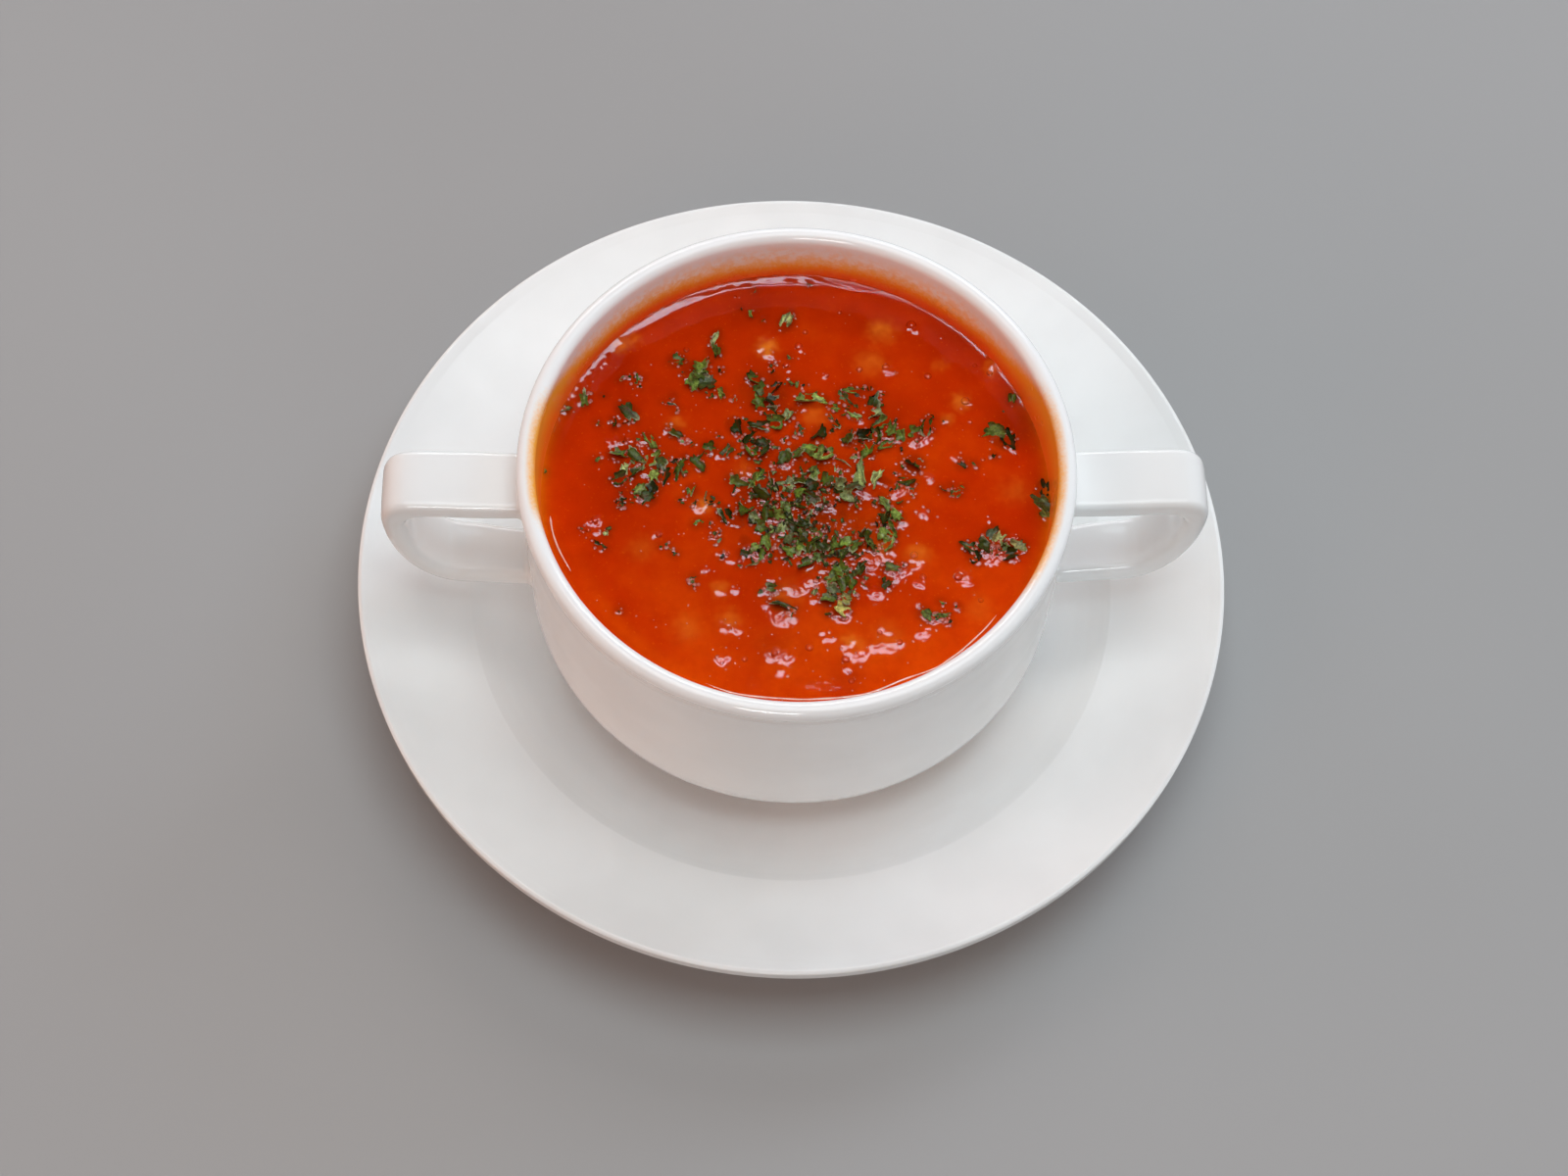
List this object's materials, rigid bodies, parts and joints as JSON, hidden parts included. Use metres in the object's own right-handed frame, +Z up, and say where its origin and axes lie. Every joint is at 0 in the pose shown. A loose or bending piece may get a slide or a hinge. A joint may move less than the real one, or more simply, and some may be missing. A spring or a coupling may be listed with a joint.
{
  "type": "cup of tomato soup on a saucer",
  "caption": "Tomato soup in a white glazed porcelain soup cup with a strap handle on each side, standing in the well of its round saucer.",
  "frame": {"origin": "centre of the saucer's foot ring, in the plane it stands on", "axes": "+Z up; the handles lie along X; the side seen from the front is -Y"},
  "size_m": [0.165, 0.165, 0.06],
  "materials": {
    "porcelain": "glossy white glaze",
    "soup": "wet, glossy orange-red soup"
  },
  "bodies": {
    "root": {"saucer": "porcelain", "soup_cup": "porcelain", "tomato_soup": "soup"}
  },
  "joints": []
}
